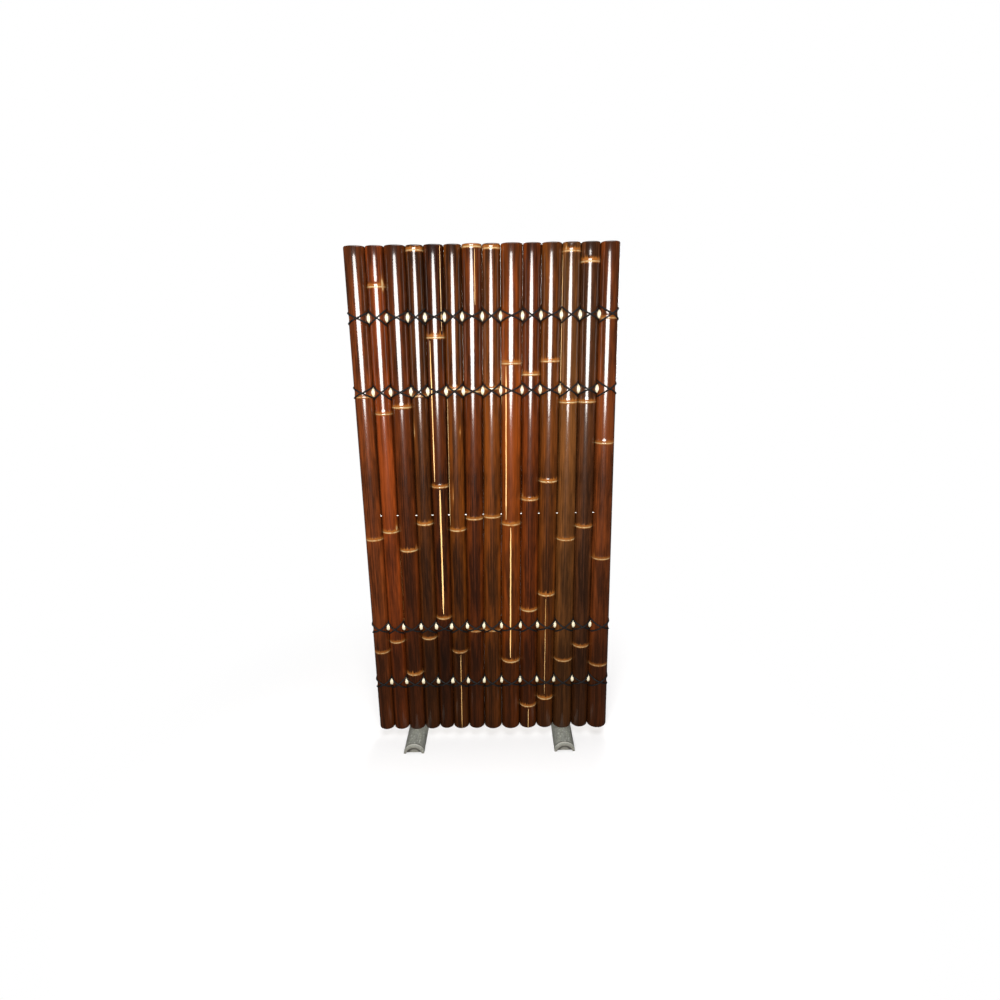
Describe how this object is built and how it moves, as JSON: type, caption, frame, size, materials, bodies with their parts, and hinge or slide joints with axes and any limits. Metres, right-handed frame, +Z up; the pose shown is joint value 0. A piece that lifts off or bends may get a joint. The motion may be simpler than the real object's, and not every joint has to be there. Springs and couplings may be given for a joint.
{
  "type": "bamboo fence panel",
  "caption": "Upright panel of dark lacquered bamboo culms on hidden cross rods, laced with crossed black cord and standing on split bamboo feet; screens or fences a garden",
  "frame": {"origin": "on the floor under the panel, in the middle of its bounding box", "axes": "+Z up along the culms, +X to the right along the row of culms seen from the front, +Y to the back, so the front faces -Y"},
  "size_m": [0.9098, 0.265, 1.834],
  "materials": {
    "lacquered_bamboo": "glossy dark brown lacquer",
    "pale_rod": "bare pale bamboo",
    "black_cord": "twisted black cord",
    "galvanised_wire": "bright galvanised",
    "weathered_bamboo": "weathered grey, dull",
    "peg_wood": "bare wood"
  },
  "bodies": {
    "root": {"culm_01": "lacquered_bamboo", "culm_02": "lacquered_bamboo", "culm_03": "lacquered_bamboo", "culm_04": "lacquered_bamboo", "culm_05": "lacquered_bamboo", "culm_06": "lacquered_bamboo", "culm_07": "lacquered_bamboo", "culm_08": "lacquered_bamboo", "culm_09": "lacquered_bamboo", "culm_10": "lacquered_bamboo", "culm_11": "lacquered_bamboo", "culm_12": "lacquered_bamboo", "culm_13": "lacquered_bamboo", "culm_14": "lacquered_bamboo", "rod_1": "pale_rod", "rod_2": "pale_rod", "rod_3": "pale_rod", "rod_4": "pale_rod", "lashing_1": "black_cord", "lashing_2": "black_cord", "lashing_3": "black_cord", "lashing_4": "black_cord", "middle_wire": "galvanised_wire", "left_foot": "weathered_bamboo", "right_foot": "weathered_bamboo", "left_peg": "peg_wood", "right_peg": "peg_wood"}
  },
  "joints": []
}
